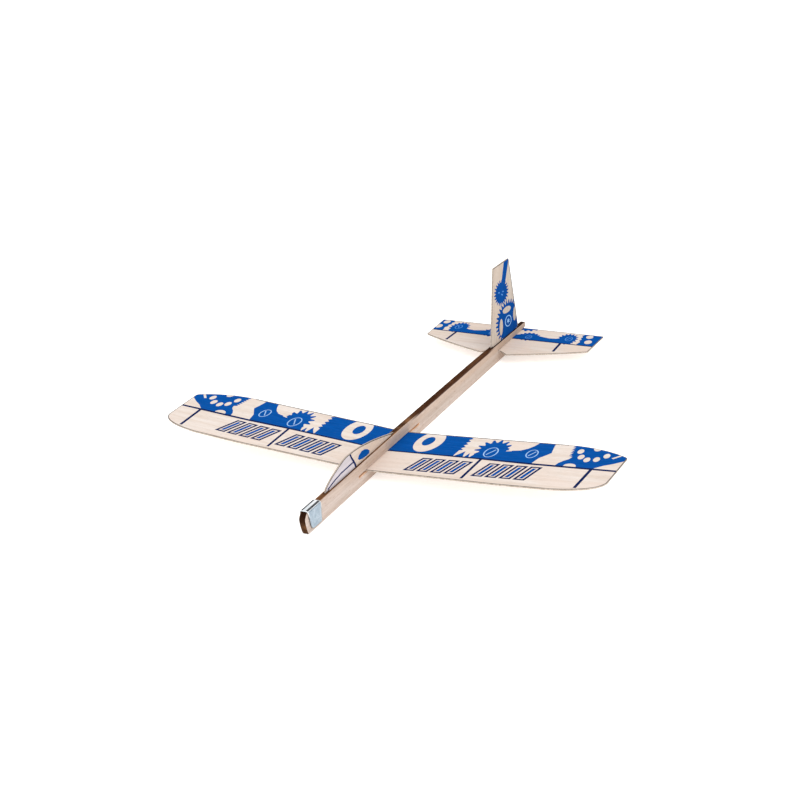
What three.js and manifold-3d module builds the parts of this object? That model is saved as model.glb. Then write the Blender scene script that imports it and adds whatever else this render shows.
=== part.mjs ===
// Hand-launched balsa glider that slips together without glue.
// A flat fuselage board stands on edge. One wing sheet passes through a long slit in it, the stabiliser
// slides into an open slit at the tail, the fin and the canopy stand in slits in its top edge, and a
// folded metal clip weighs the nose.
// Millimetres. +Y points to the tail, +X along the wing, +Z up. Stations are measured back from the
// foremost point of the nose, and heights are measured up from the straight bottom edge.

import * as THREE from "three";
import { mergeVertices } from "three/addons/utils/BufferGeometryUtils.js";
import Module from "manifold-3d";

const wasm = await Module();
wasm.setup();

// Stock
const FUSELAGE_THICKNESS = 4.5;
const SHEET_THICKNESS = 1.0;
const CLIP_METAL = 0.5;

// Clearances
const SLIT_GAP = 0.2; // each side of a balsa sheet in its slit
const CLIP_GAP = 0.2; // between the clip and the wood it straddles

// Fuselage board
const FUSELAGE_LENGTH = 381;
const NOSE_DEPTH = 13.8;
const MIDDLE_DEPTH = 15.2;
const TAIL_DEPTH = 13.5;
const FULL_DEPTH_FROM = 130; // station where the top edge stops rising
const TAIL_TAPER = 119; // length over which it falls again, ahead of the tail end
const NOSE_CREST_HEIGHT = 10; // height of the foremost point
const NOSE_FALLBACK_BOTTOM = 3; // how far the nose curves back at the bottom edge
const NOSE_FALLBACK_TOP = 2.7; // and at the top edge
const NOSE_STEPS = 8;

// Wing
const WING_SPAN = 304.8;
const WING_ROOT_CHORD = 64.2;
const WING_STATION = 76.9; // station of the leading edge at the root
const WING_HEIGHT = 6.9; // height of the lower surface at the crease
const DIHEDRAL = THREE.MathUtils.degToRad(4.5);
const WING_SLIT_AHEAD = 10.3; // open slit ahead of the wing, for trimming
const WING_SLIT_BEHIND = 16.8; // open slit behind it
const LEAD_ADVANCE = 3.8; // the leading edge runs this far forward
const LEAD_ADVANCE_SPAN = 88; // by this distance out from the root
const LEAD_ROUND_SPAN = 32; // the rounded front corner of the tip
const LEAD_ROUND_CHORD = 15.8;
const TIP_RAKE = 2.6; // the tip's front end lies this far inboard of its rear end
const TRAIL_ROUND_SPAN = 40; // the rear edge curves forward towards the tip
const TRAIL_ROUND_CHORD = 13.6;
const TRAIL_TAPER = 2.4; // the rear edge runs this far forward before it curves
const TIP_CORNER = 1.6;

// Stabiliser
const STABILISER_SPAN = 141;
const STABILISER_CHORD = 69.8; // from the front corners beside the notch to the rear edge
const STABILISER_HEIGHT = 8.1; // height of its lower surface
const STABILISER_INSET = 2.8; // the rear edge stops this far short of the tail end
const STABILISER_SWEEP = 27.8;
const STABILISER_RAKE = 2;
const LEAD_BULGE = 1.6; // the swept front edge bows out by this much
const NOTCH_DEPTH = 6.6; // notch in the front edge that beds on the end of the slit
const NOTCH_MOUTH = 21.6;
const NOTCH_FLOOR = 6.6;
const SHEET_CORNER = 1.5;

// Fin
const FIN_INSET = 13.5; // the fin's rear foot stops this far short of the tail end
const FIN_ROOT_CHORD = 64;
const FIN_TIP_CHORD = 35.5;
const FIN_LEAD_SLOPE = 2.5; // the front edge leans back this far from bottom to top
const FIN_TOP_HEIGHT = 77.3;
const FIN_TAB_DEPTH = 3.2;
const FIN_TAB_SHOULDER = 2.5;
const FIN_CORNER = 1.5;

// Canopy
const CANOPY_STATION = 27.6;
const CANOPY_LENGTH = 93.4;
const CANOPY_RISE = 11;
const CANOPY_TAB_DEPTH = 3.4;
const CANOPY_TAB_SHOULDER = 4;
// Silhouette from front to rear, as fractions of the canopy's own length and rise
const CANOPY_OUTLINE = [
  [0.004, 0.22],
  [0.045, 0.4],
  [0.113, 0.63],
  [0.255, 0.96],
  [0.347, 1],
  [0.44, 0.96],
  [0.54, 0.84],
  [0.72, 0.56],
];
const CANOPY_STEPS = 32;

// Nose clip
const CLIP_STATION = 2.4;
const CLIP_LENGTH = 14.9;
const CLIP_SKIRT_HEIGHT = 1.8; // height of the lower edge of the side flaps
const CLIP_FRONT_CUT = 5.6; // the front edge of a flap slants back this far
const CLIP_FRONT_CUT_HEIGHT = 5.2; // height where the slant turns into the rounded corner
const CLIP_REAR_CORNER = 0.6;
const CLIP_BEND = 0.3; // inside radius of the folds

const CURVE_STEPS = 14;

const balsa = new THREE.MeshStandardMaterial({ color: 0xe3cbb4, roughness: 0.85, metalness: 0 });
const board = new THREE.MeshStandardMaterial({ color: 0xd9b999, roughness: 0.85, metalness: 0 });
const bright = new THREE.MeshStandardMaterial({ color: 0xd7dde2, roughness: 0.3, metalness: 1 });

// Station to the frame's Y: the frame's origin lies midway along the fuselage
const along = (station) => station - FUSELAGE_LENGTH / 2;

// Frames for outlines drawn from the side, from above and from the front
const FROM_SIDE = new THREE.Matrix4().makeBasis(
  new THREE.Vector3(0, 1, 0),
  new THREE.Vector3(0, 0, 1),
  new THREE.Vector3(1, 0, 0)
);
const FROM_ABOVE = new THREE.Matrix4();
const FROM_FRONT = new THREE.Matrix4().makeBasis(
  new THREE.Vector3(1, 0, 0),
  new THREE.Vector3(0, 0, 1),
  new THREE.Vector3(0, -1, 0)
);

function toSolid(geometry) {
  const bare = geometry.clone();
  bare.deleteAttribute("normal");
  bare.deleteAttribute("uv");
  const merged = mergeVertices(bare, 1e-5);
  const vertProperties = Float32Array.from(merged.attributes.position.array);
  const triVerts = Uint32Array.from(merged.index.array);
  return new wasm.Manifold(new wasm.Mesh({ numProp: 3, vertProperties, triVerts }));
}

function toMesh(solid, name, material) {
  const mesh = solid.getMesh();
  const geometry = new THREE.BufferGeometry();
  geometry.setAttribute("position", new THREE.BufferAttribute(mesh.vertProperties, 3));
  geometry.setIndex(new THREE.BufferAttribute(mesh.triVerts, 1));
  geometry.computeVertexNormals();
  const node = new THREE.Mesh(geometry, material);
  node.name = name;
  return node;
}

// A slab of the outline, lying between two offsets along the direction it is seen from
function slab(shape, frame, from, to) {
  const geometry = new THREE.ExtrudeGeometry(shape, {
    depth: to - from,
    bevelEnabled: false,
    curveSegments: CURVE_STEPS,
  });
  geometry.translate(0, 0, from);
  geometry.applyMatrix4(frame);
  return toSolid(geometry);
}

// A sheet or board that stands on edge, centred on the glider's middle plane
function uprightSlab(shape, thickness) {
  return slab(shape, FROM_SIDE, -thickness / 2, thickness / 2);
}

function rectangle(left, bottom, right, top) {
  const shape = new THREE.Shape();
  shape.moveTo(left, bottom);
  shape.lineTo(right, bottom);
  shape.lineTo(right, top);
  shape.lineTo(left, top);
  shape.closePath();
  return shape;
}

// Rounds a corner of an outline: runs straight to the corner's start and curves past it
function roundCorner(path, corner, next, radius) {
  const start = path.currentPoint.clone();
  const before = corner.clone().add(start.sub(corner).setLength(radius));
  const after = corner.clone().add(next.clone().sub(corner).setLength(radius));
  path.lineTo(before.x, before.y);
  path.quadraticCurveTo(corner.x, corner.y, after.x, after.y);
}

const taperStart = FUSELAGE_LENGTH - TAIL_TAPER;

// Height of the fuselage's top edge at a station
function topEdge(station) {
  if (station < FULL_DEPTH_FROM) {
    const part = (station - NOSE_FALLBACK_TOP) / (FULL_DEPTH_FROM - NOSE_FALLBACK_TOP);
    return THREE.MathUtils.lerp(NOSE_DEPTH, MIDDLE_DEPTH, part);
  }
  if (station > taperStart) {
    const part = (station - taperStart) / TAIL_TAPER;
    return THREE.MathUtils.lerp(MIDDLE_DEPTH, TAIL_DEPTH, part);
  }
  return MIDDLE_DEPTH;
}

// Station of the nose's front face at a height: it bulges forward to a crest above the middle
function noseFace(height) {
  const below = height < NOSE_CREST_HEIGHT;
  const reach = below ? NOSE_CREST_HEIGHT : NOSE_DEPTH - NOSE_CREST_HEIGHT;
  const fallback = below ? NOSE_FALLBACK_BOTTOM : NOSE_FALLBACK_TOP;
  return fallback * (Math.abs(height - NOSE_CREST_HEIGHT) / reach) ** 1.5;
}

function fuselageOutline() {
  const shape = new THREE.Shape();
  shape.moveTo(along(noseFace(0)), 0);
  shape.lineTo(along(FUSELAGE_LENGTH), 0);
  shape.lineTo(along(FUSELAGE_LENGTH), TAIL_DEPTH);
  shape.lineTo(along(taperStart), MIDDLE_DEPTH);
  shape.lineTo(along(FULL_DEPTH_FROM), MIDDLE_DEPTH);
  shape.lineTo(along(NOSE_FALLBACK_TOP), NOSE_DEPTH);
  for (let step = 1; step < NOSE_STEPS; step += 1) {
    const height = THREE.MathUtils.lerp(NOSE_DEPTH, NOSE_CREST_HEIGHT, step / NOSE_STEPS);
    shape.lineTo(along(noseFace(height)), height);
  }
  for (let step = 0; step < NOSE_STEPS; step += 1) {
    const height = THREE.MathUtils.lerp(NOSE_CREST_HEIGHT, 0, step / NOSE_STEPS);
    shape.lineTo(along(noseFace(height)), height);
  }
  shape.closePath();
  return shape;
}

// A slit through the whole board, for a sheet that crosses it
function crossSlit(front, rear, bottom, top) {
  const half = FUSELAGE_THICKNESS / 2 + 1;
  return slab(rectangle(along(front), bottom, along(rear), top), FROM_SIDE, -half, half);
}

// A slit cut down into the top edge, for a tab of the given depth
function topSlit(front, rear, depth) {
  const floor = Math.min(topEdge(front), topEdge(rear)) - depth - SLIT_GAP;
  const outline = rectangle(along(front - SLIT_GAP), floor, along(rear + SLIT_GAP), MIDDLE_DEPTH + 1);
  return uprightSlab(outline, SHEET_THICKNESS + 2 * SLIT_GAP);
}

const finRear = FUSELAGE_LENGTH - FIN_INSET;
const finFront = finRear - FIN_ROOT_CHORD;
const finTab = {
  front: finFront + FIN_TAB_SHOULDER,
  rear: finRear - FIN_TAB_SHOULDER,
};
const canopyTab = {
  front: CANOPY_STATION + CANOPY_TAB_SHOULDER,
  rear: CANOPY_STATION + CANOPY_LENGTH - CANOPY_TAB_SHOULDER,
};
const stabiliserRear = FUSELAGE_LENGTH - STABILISER_INSET;
const stabiliserFront = stabiliserRear - STABILISER_CHORD;
const notchFloorStation = stabiliserFront + NOTCH_DEPTH;

function buildFuselage() {
  const rise = Math.tan(DIHEDRAL) * (FUSELAGE_THICKNESS / 2);
  const wingSlit = crossSlit(
    WING_STATION - WING_SLIT_AHEAD,
    WING_STATION + WING_ROOT_CHORD + WING_SLIT_BEHIND,
    WING_HEIGHT - SLIT_GAP,
    WING_HEIGHT + SHEET_THICKNESS / Math.cos(DIHEDRAL) + rise + SLIT_GAP
  );
  const tailSlit = crossSlit(
    notchFloorStation - SLIT_GAP,
    FUSELAGE_LENGTH + 1,
    STABILISER_HEIGHT - SLIT_GAP,
    STABILISER_HEIGHT + SHEET_THICKNESS + SLIT_GAP
  );
  return uprightSlab(fuselageOutline(), FUSELAGE_THICKNESS)
    .subtract(wingSlit)
    .subtract(tailSlit)
    .subtract(topSlit(finTab.front, finTab.rear, FIN_TAB_DEPTH))
    .subtract(topSlit(canopyTab.front, canopyTab.rear, CANOPY_TAB_DEPTH));
}

// The right half of the wing seen from above, from the crease out to the tip
function wingPanelOutline() {
  const tip = WING_SPAN / 2;
  const lead = along(WING_STATION);
  const trail = along(WING_STATION + WING_ROOT_CHORD);
  const foremost = lead - LEAD_ADVANCE;
  const tipFront = new THREE.Vector2(tip - TIP_RAKE, foremost + LEAD_ROUND_CHORD);
  const trailTurn = new THREE.Vector2(tip - TRAIL_ROUND_SPAN, trail - TRAIL_TAPER);
  const tipRear = new THREE.Vector2(tip, trailTurn.y - TRAIL_ROUND_CHORD);
  const shape = new THREE.Shape();
  shape.moveTo(0, lead);
  shape.lineTo(LEAD_ADVANCE_SPAN, foremost);
  shape.lineTo(tip - LEAD_ROUND_SPAN, foremost);
  shape.quadraticCurveTo(tip - TIP_RAKE - 1.6, foremost + 3, tipFront.x, tipFront.y);
  const curveAim = new THREE.Vector2(tip - TRAIL_ROUND_SPAN * 0.44, trailTurn.y - 1);
  roundCorner(shape, tipRear, curveAim, TIP_CORNER);
  shape.quadraticCurveTo(curveAim.x, curveAim.y, trailTurn.x, trailTurn.y);
  shape.lineTo(0, trail);
  shape.closePath();
  return shape;
}

// One sheet, scored along the middle and set to a shallow V: both panels rise straight from the crease
function buildWing() {
  const upright = SHEET_THICKNESS / Math.cos(DIHEDRAL);
  const flat = slab(wingPanelOutline(), FROM_ABOVE, WING_HEIGHT, WING_HEIGHT + upright);
  const slope = Math.tan(DIHEDRAL);
  const right = flat.warp((vertex) => {
    vertex[2] += vertex[0] * slope;
  });
  return right.add(right.mirror([1, 0, 0]));
}

function stabiliserOutline() {
  const tip = STABILISER_SPAN / 2;
  const front = along(stabiliserFront);
  const rear = along(stabiliserRear);
  const mouth = NOTCH_MOUTH / 2;
  const floor = NOTCH_FLOOR / 2;
  const tipFront = new THREE.Vector2(tip - STABILISER_RAKE, front + STABILISER_SWEEP);
  const tipRear = new THREE.Vector2(tip, rear);
  const bow = new THREE.Vector2((mouth + tipFront.x) / 2, (front + tipFront.y) / 2 - 2 * LEAD_BULGE);
  const shape = new THREE.Shape();
  shape.moveTo(-floor, front + NOTCH_DEPTH);
  shape.lineTo(floor, front + NOTCH_DEPTH);
  shape.lineTo(mouth, front);
  shape.quadraticCurveTo(bow.x, bow.y, tipFront.x - SHEET_CORNER, tipFront.y - SHEET_CORNER / 2);
  roundCorner(shape, tipFront, tipRear, SHEET_CORNER);
  roundCorner(shape, tipRear, new THREE.Vector2(-tip, rear), SHEET_CORNER);
  const leftFront = new THREE.Vector2(-tipFront.x, tipFront.y);
  roundCorner(shape, new THREE.Vector2(-tip, rear), leftFront, SHEET_CORNER);
  const leftBow = new THREE.Vector2(-tipFront.x + SHEET_CORNER, tipFront.y - SHEET_CORNER / 2);
  roundCorner(shape, leftFront, leftBow, SHEET_CORNER);
  shape.quadraticCurveTo(-bow.x, bow.y, -mouth, front);
  shape.closePath();
  return shape;
}

function buildStabiliser() {
  return slab(stabiliserOutline(), FROM_ABOVE, STABILISER_HEIGHT, STABILISER_HEIGHT + SHEET_THICKNESS);
}

// Lower part of a sheet that stands in a top slit: shoulders rest on the edge, the tab goes in between
function tabbedBase(shape, front, rear, tab, depth) {
  const floor = Math.min(topEdge(tab.front), topEdge(tab.rear)) - depth;
  shape.moveTo(along(front), topEdge(front) + SLIT_GAP);
  shape.lineTo(along(tab.front), topEdge(tab.front) + SLIT_GAP);
  shape.lineTo(along(tab.front), floor);
  shape.lineTo(along(tab.rear), floor);
  shape.lineTo(along(tab.rear), topEdge(tab.rear) + SLIT_GAP);
  shape.lineTo(along(rear), topEdge(rear) + SLIT_GAP);
}

function buildFin() {
  const topFront = new THREE.Vector2(along(finFront + FIN_LEAD_SLOPE), FIN_TOP_HEIGHT);
  const topRear = new THREE.Vector2(topFront.x + FIN_TIP_CHORD, FIN_TOP_HEIGHT);
  const shape = new THREE.Shape();
  tabbedBase(shape, finFront, finRear, finTab, FIN_TAB_DEPTH);
  roundCorner(shape, topRear, topFront, FIN_CORNER);
  const foot = new THREE.Vector2(along(finFront), topEdge(finFront) + SLIT_GAP);
  roundCorner(shape, topFront, foot, FIN_CORNER);
  shape.closePath();
  return uprightSlab(shape, SHEET_THICKNESS);
}

function buildCanopy() {
  const rear = CANOPY_STATION + CANOPY_LENGTH;
  const place = ([part, lift]) => {
    const station = CANOPY_STATION + part * CANOPY_LENGTH;
    return new THREE.Vector2(along(station), topEdge(station) + SLIT_GAP + lift * CANOPY_RISE);
  };
  const silhouette = new THREE.SplineCurve([...CANOPY_OUTLINE.map(place), place([1, 0])].reverse());
  const shape = new THREE.Shape();
  tabbedBase(shape, CANOPY_STATION, rear, canopyTab, CANOPY_TAB_DEPTH);
  for (const point of silhouette.getSpacedPoints(CANOPY_STEPS).slice(1)) {
    shape.lineTo(point.x, point.y);
  }
  shape.closePath();
  return uprightSlab(shape, SHEET_THICKNESS);
}

// Sheet metal folded down both sides of the nose: a U section, with its flaps cut to shape
function buildNoseClip() {
  const inner = FUSELAGE_THICKNESS / 2 + CLIP_GAP;
  const outer = inner + CLIP_METAL;
  const rear = CLIP_STATION + CLIP_LENGTH;
  const ceiling = Math.max(topEdge(CLIP_STATION), topEdge(rear)) + CLIP_GAP;
  const crown = ceiling + CLIP_METAL;
  const outerBend = CLIP_BEND + CLIP_METAL;
  const section = new THREE.Shape();
  section.moveTo(inner, 0);
  section.lineTo(outer, 0);
  section.lineTo(outer, crown - outerBend);
  section.absarc(outer - outerBend, crown - outerBend, outerBend, 0, Math.PI / 2);
  section.lineTo(outerBend - outer, crown);
  section.absarc(outerBend - outer, crown - outerBend, outerBend, Math.PI / 2, Math.PI);
  section.lineTo(-outer, 0);
  section.lineTo(-inner, 0);
  section.lineTo(-inner, ceiling - CLIP_BEND);
  section.absarc(CLIP_BEND - inner, ceiling - CLIP_BEND, CLIP_BEND, Math.PI, Math.PI / 2, true);
  section.lineTo(inner - CLIP_BEND, ceiling);
  section.absarc(inner - CLIP_BEND, ceiling - CLIP_BEND, CLIP_BEND, Math.PI / 2, 0, true);
  section.closePath();
  const folded = slab(section, FROM_FRONT, -along(rear), -along(CLIP_STATION));

  const front = along(CLIP_STATION);
  const back = along(rear);
  const skirt = CLIP_SKIRT_HEIGHT;
  const cut = new THREE.Shape();
  cut.moveTo(front, crown + 1);
  cut.lineTo(front, crown - outerBend);
  cut.lineTo(front + CLIP_FRONT_CUT * 0.43, CLIP_FRONT_CUT_HEIGHT);
  cut.quadraticCurveTo(front + CLIP_FRONT_CUT * 0.6, skirt, front + CLIP_FRONT_CUT, skirt);
  roundCorner(cut, new THREE.Vector2(back, skirt), new THREE.Vector2(back, crown), CLIP_REAR_CORNER);
  cut.lineTo(back, crown + 1);
  cut.closePath();
  return folded.intersect(slab(cut, FROM_SIDE, -outer - 1, outer + 1));
}

const glider = new THREE.Group();
glider.name = "balsa_glider";
glider.add(toMesh(buildFuselage(), "fuselage", board));
glider.add(toMesh(buildWing(), "wing", balsa));
glider.add(toMesh(buildStabiliser(), "stabiliser", balsa));
glider.add(toMesh(buildFin(), "fin", balsa));
glider.add(toMesh(buildCanopy(), "canopy", balsa));
glider.add(toMesh(buildNoseClip(), "nose_clip", bright));

export default glider;
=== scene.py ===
import math

import bmesh
import bpy
from mathutils import Matrix, Vector, geometry


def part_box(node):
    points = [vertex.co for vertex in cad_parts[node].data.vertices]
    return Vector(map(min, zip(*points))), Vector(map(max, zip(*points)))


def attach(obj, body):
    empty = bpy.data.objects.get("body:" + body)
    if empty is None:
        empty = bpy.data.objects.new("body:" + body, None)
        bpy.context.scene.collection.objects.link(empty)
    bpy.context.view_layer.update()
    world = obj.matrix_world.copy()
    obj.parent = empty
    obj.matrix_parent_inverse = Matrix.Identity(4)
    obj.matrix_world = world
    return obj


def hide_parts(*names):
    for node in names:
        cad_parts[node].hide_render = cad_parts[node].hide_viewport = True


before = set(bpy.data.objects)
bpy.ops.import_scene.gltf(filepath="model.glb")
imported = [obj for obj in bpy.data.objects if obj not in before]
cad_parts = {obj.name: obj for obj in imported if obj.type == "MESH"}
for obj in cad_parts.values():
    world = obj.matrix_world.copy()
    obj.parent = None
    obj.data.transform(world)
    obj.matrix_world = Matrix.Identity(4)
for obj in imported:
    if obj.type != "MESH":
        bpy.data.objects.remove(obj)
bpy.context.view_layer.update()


# ---------------------------------------------------------------------------
# Fuselage board. A strip of hard sheet balsa standing on edge, sawn to a gentle
# taper at both ends. Its cut edges are scorched dark brown, the wing and the
# stabiliser pass through slits in its side, and two slits open in its top edge.

MM = 0.001
CURVE_STEPS = 16

fuselage_low, fuselage_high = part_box("fuselage")
FUSELAGE_LENGTH = (fuselage_high.y - fuselage_low.y) / MM
FUSELAGE_THICKNESS = (fuselage_high.x - fuselage_low.x) / MM
NOSE_DEPTH = 13.8
MIDDLE_DEPTH = 15.2
TAIL_DEPTH = 13.5
FULL_DEPTH_FROM = 130.0
TAIL_TAPER = 119.0
TAPER_FROM = FUSELAGE_LENGTH - TAIL_TAPER
NOSE_CREST_HEIGHT = 10.0
NOSE_FALLBACK_BOTTOM = 3.0
NOSE_FALLBACK_TOP = 2.7
SHEET_THICKNESS = 1.0
SLIT_GAP = 0.2

SAW_CLEARANCE = 2.0

BOARD_EDGE_WIDTH = 0.3
BOARD_EDGE_DROP = 0.08

# Front and rear stations of each slit, then its lower and upper heights.
WING_SLIT = (66.6, 157.9, 6.78, 8.17)
TAIL_SLIT = (314.8, FUSELAGE_LENGTH, 7.9, 9.3)


def along(station):
    """Frame Y, in millimetres, of a distance back from the nose."""
    return station - FUSELAGE_LENGTH / 2


def top_edge(station):
    """Height of the board's top edge at a station."""
    if station < FULL_DEPTH_FROM:
        part = (station - NOSE_FALLBACK_TOP) / (FULL_DEPTH_FROM - NOSE_FALLBACK_TOP)
        return NOSE_DEPTH + (MIDDLE_DEPTH - NOSE_DEPTH) * part
    if station > TAPER_FROM:
        part = (station - TAPER_FROM) / (FUSELAGE_LENGTH - TAPER_FROM)
        return MIDDLE_DEPTH + (TAIL_DEPTH - MIDDLE_DEPTH) * part
    return MIDDLE_DEPTH


def nose_face(height):
    """Station of the rounded nose at a height."""
    below = height < NOSE_CREST_HEIGHT
    reach = NOSE_CREST_HEIGHT if below else NOSE_DEPTH - NOSE_CREST_HEIGHT
    fallback = NOSE_FALLBACK_BOTTOM if below else NOSE_FALLBACK_TOP
    return fallback * (abs(height - NOSE_CREST_HEIGHT) / reach) ** 1.5


def rectangle(left, right, bottom, top):
    """A four-cornered outline, drawn anticlockwise."""
    return [(left, bottom), (right, bottom), (right, top), (left, top)]


def encloses(loop, point):
    """True where an outline has the point inside it."""
    x, y = point
    found = False
    before = loop[-1]
    for here in loop:
        if (here[1] > y) != (before[1] > y):
            crossing = before[0] + (y - before[1]) * (here[0] - before[0]) / (here[1] - before[1])
            if x < crossing:
                found = not found
        before = here
    return found


def drawn_in(loop, depth):
    """The same outline with every edge moved inwards; a negative depth moves them outwards."""
    area = sum(a[0] * b[1] - b[0] * a[1] for a, b in zip(loop, loop[1:] + loop[:1]))
    side = 1 if area > 0 else -1
    moved = []
    for index, here in enumerate(loop):
        corner = Vector(here)
        arriving = (corner - Vector(loop[index - 1])).normalized()
        leaving = (Vector(loop[(index + 1) % len(loop)]) - corner).normalized()
        inward = Vector((-arriving.y - leaving.y, arriving.x + leaving.x)) * side
        if inward.length < 1e-6:
            inward = Vector((-arriving.y, arriving.x)) * side
        inward.normalize()
        lean = max(0.35, abs(inward.dot(Vector((-arriving.y, arriving.x)))))
        moved.append(tuple(corner + inward * depth / lean))
    return moved


BARE = 0
WALL = 1
RIM = 2
SLIT = 3


def cut_out(name, outline, place, finishes, edge, holes=(), folds=(), prints=(), back_printed=False):
    """A flat piece cut from sheet to an outline, with its prints cut into its faces.
    place(u, v, level) gives the point in millimetres, with level 1 on the face and -1 on the back.
    finishes lists the bare face, the cut edge, its softened rim and then the inks, or the slit's
    inside where there is a hole. prints are (ink, outline) pairs, last on top. edge is how far in
    the rim starts and how much of the thickness it takes off."""
    edge_width, edge_drop = edge
    rim = drawn_in(outline, edge_width)
    hole_rims = [drawn_in(hole, -edge_width) for hole in holes]
    points = []
    lines = []
    for loop in [outline, rim, *holes, *hole_rims, *(shape for _, shape in prints)]:
        first = len(points)
        points.extend(Vector(p) for p in loop)
        lines.extend((first + i, first + (i + 1) % len(loop)) for i in range(len(loop)))
    for start, end in folds:
        lines.append((len(points), len(points) + 1))
        points.extend((Vector(start), Vector(end)))
    flat, _, triangles, *_ = geometry.delaunay_2d_cdt(points, lines, [], 0, 1e-5)

    boxes = []
    for ink, shape in prints:
        across = [p[0] for p in shape]
        up = [p[1] for p in shape]
        boxes.append((min(across), max(across), min(up), max(up), ink, shape))

    def ink_at(point):
        for left, right, bottom, top, ink, shape in reversed(boxes):
            if left <= point[0] <= right and bottom <= point[1] <= top and encloses(shape, point):
                return ink
        return BARE

    kept = []
    for triangle in triangles:
        a, b, c = (flat[i] for i in triangle)
        centre = ((a.x + b.x + c.x) / 3, (a.y + b.y + c.y) / 3)
        if not encloses(outline, centre) or any(encloses(hole, centre) for hole in holes):
            continue
        turn = (b - a).cross(c - a)
        if abs(turn) < 1e-9:
            continue
        order = list(triangle) if turn > 0 else list(reversed(triangle))
        if any(encloses(loop, centre) for loop in hole_rims):
            kept.append((order, SLIT))
        else:
            kept.append((order, ink_at(centre) if encloses(rim, centre) else RIM))

    uses = {}
    for order, _ in kept:
        for i in range(3):
            pair = (order[i], order[(i + 1) % 3])
            uses[frozenset(pair)] = None if frozenset(pair) in uses else pair
    borders = [pair for pair in uses.values() if pair]
    on_border = {i for pair in borders for i in pair}

    shape = bmesh.new()
    face_points = {}
    back_points = {}
    for i in {i for order, _ in kept for i in order}:
        level = 1 - 2 * edge_drop if i in on_border else 1
        face_points[i] = shape.verts.new(Vector(place(flat[i].x, flat[i].y, level)) * MM)
        back_points[i] = shape.verts.new(Vector(place(flat[i].x, flat[i].y, -level)) * MM)
    for order, ink in kept:
        face = shape.faces.new([face_points[i] for i in order])
        face.material_index = ink
        back = shape.faces.new([back_points[i] for i in reversed(order)])
        back.material_index = ink if back_printed or holes or ink == RIM else BARE
    for a, b in borders:
        wall = shape.faces.new([face_points[b], face_points[a], back_points[a], back_points[b]])
        middle = (flat[a] + flat[b]) / 2
        wall.material_index = SLIT if any(encloses(loop, middle) for loop in hole_rims) else WALL
    mesh = bpy.data.meshes.new(name)
    shape.to_mesh(mesh)
    shape.free()
    piece = bpy.data.objects.new(name, mesh)
    bpy.context.scene.collection.objects.link(piece)
    for finish in finishes:
        mesh.materials.append(finish)
    return piece


def tone(red, green, blue):
    """A colour mixed on the 0 to 255 scale, as the light it reflects."""
    parts = []
    for value in (red, green, blue):
        share = value / 255
        parts.append(share / 12.92 if share <= 0.04045 else ((share + 0.055) / 1.055) ** 2.4)
    return (*parts, 1.0)


def feed(tree, socket, value):
    """Gives a socket a link or a value of its own."""
    if isinstance(value, bpy.types.NodeSocket):
        tree.links.new(value, socket)
    else:
        socket.default_value = value


def blended(tree, share, first, second):
    """Two colours blended by a share."""
    mix = tree.nodes.new("ShaderNodeMix")
    mix.data_type = "RGBA"
    feed(tree, mix.inputs[0], share)
    feed(tree, mix.inputs[6], first)
    feed(tree, mix.inputs[7], second)
    return mix.outputs[2]


def ranged(tree, value, low, high, out_low=0.0, out_high=1.0):
    """A value stretched from one range to another, with soft ends."""
    step = tree.nodes.new("ShaderNodeMapRange")
    step.interpolation_type = "SMOOTHSTEP"
    tree.links.new(value, step.inputs["Value"])
    step.inputs["From Min"].default_value = low
    step.inputs["From Max"].default_value = high
    step.inputs["To Min"].default_value = out_low
    step.inputs["To Max"].default_value = out_high
    return step.outputs["Result"]


def figured(tree, spread, scale, detail=3.0, twist=0.0):
    """A noise laid over the piece, squeezed or drawn out along each axis by spread."""
    where = tree.nodes.new("ShaderNodeTexCoord")
    lay = tree.nodes.new("ShaderNodeMapping")
    lay.inputs["Scale"].default_value = spread
    tree.links.new(where.outputs["Object"], lay.inputs["Vector"])
    noise = tree.nodes.new("ShaderNodeTexNoise")
    noise.inputs["Scale"].default_value = scale
    noise.inputs["Detail"].default_value = detail
    noise.inputs["Roughness"].default_value = 0.55
    noise.inputs["Distortion"].default_value = twist
    tree.links.new(lay.outputs["Vector"], noise.inputs["Vector"])
    return noise.outputs["Fac"]


def summed(tree, first, second, first_share, second_share):
    """Two heights added in given shares."""
    scaled = tree.nodes.new("ShaderNodeMath")
    scaled.operation = "MULTIPLY"
    tree.links.new(first, scaled.inputs[0])
    scaled.inputs[1].default_value = first_share
    total = tree.nodes.new("ShaderNodeMath")
    total.operation = "MULTIPLY_ADD"
    tree.links.new(second, total.inputs[0])
    total.inputs[1].default_value = second_share
    tree.links.new(scaled.outputs[0], total.inputs[2])
    return total.outputs[0]


def product(tree, first, second):
    """Two shares multiplied."""
    times = tree.nodes.new("ShaderNodeMath")
    times.operation = "MULTIPLY"
    tree.links.new(first, times.inputs[0])
    tree.links.new(second, times.inputs[1])
    return times.outputs[0]


def spot(tree):
    """Where a point lies on the piece, as its three distances."""
    where = tree.nodes.new("ShaderNodeTexCoord")
    split = tree.nodes.new("ShaderNodeSeparateXYZ")
    tree.links.new(where.outputs["Object"], split.inputs["Vector"])
    return split.outputs


def new_finish(name, specular):
    """An empty material and its surface shader."""
    finish = bpy.data.materials.new(name)
    finish.use_nodes = True
    shader = finish.node_tree.nodes["Principled BSDF"]
    shader.inputs["Specular IOR Level"].default_value = specular
    return finish, finish.node_tree, shader


def raised(tree, shader, height, strength, depth):
    """Surface relief from a height."""
    relief = tree.nodes.new("ShaderNodeBump")
    relief.inputs["Strength"].default_value = strength
    relief.inputs["Distance"].default_value = depth
    tree.links.new(height, relief.inputs["Height"])
    tree.links.new(relief.outputs["Normal"], shader.inputs["Normal"])


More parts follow.
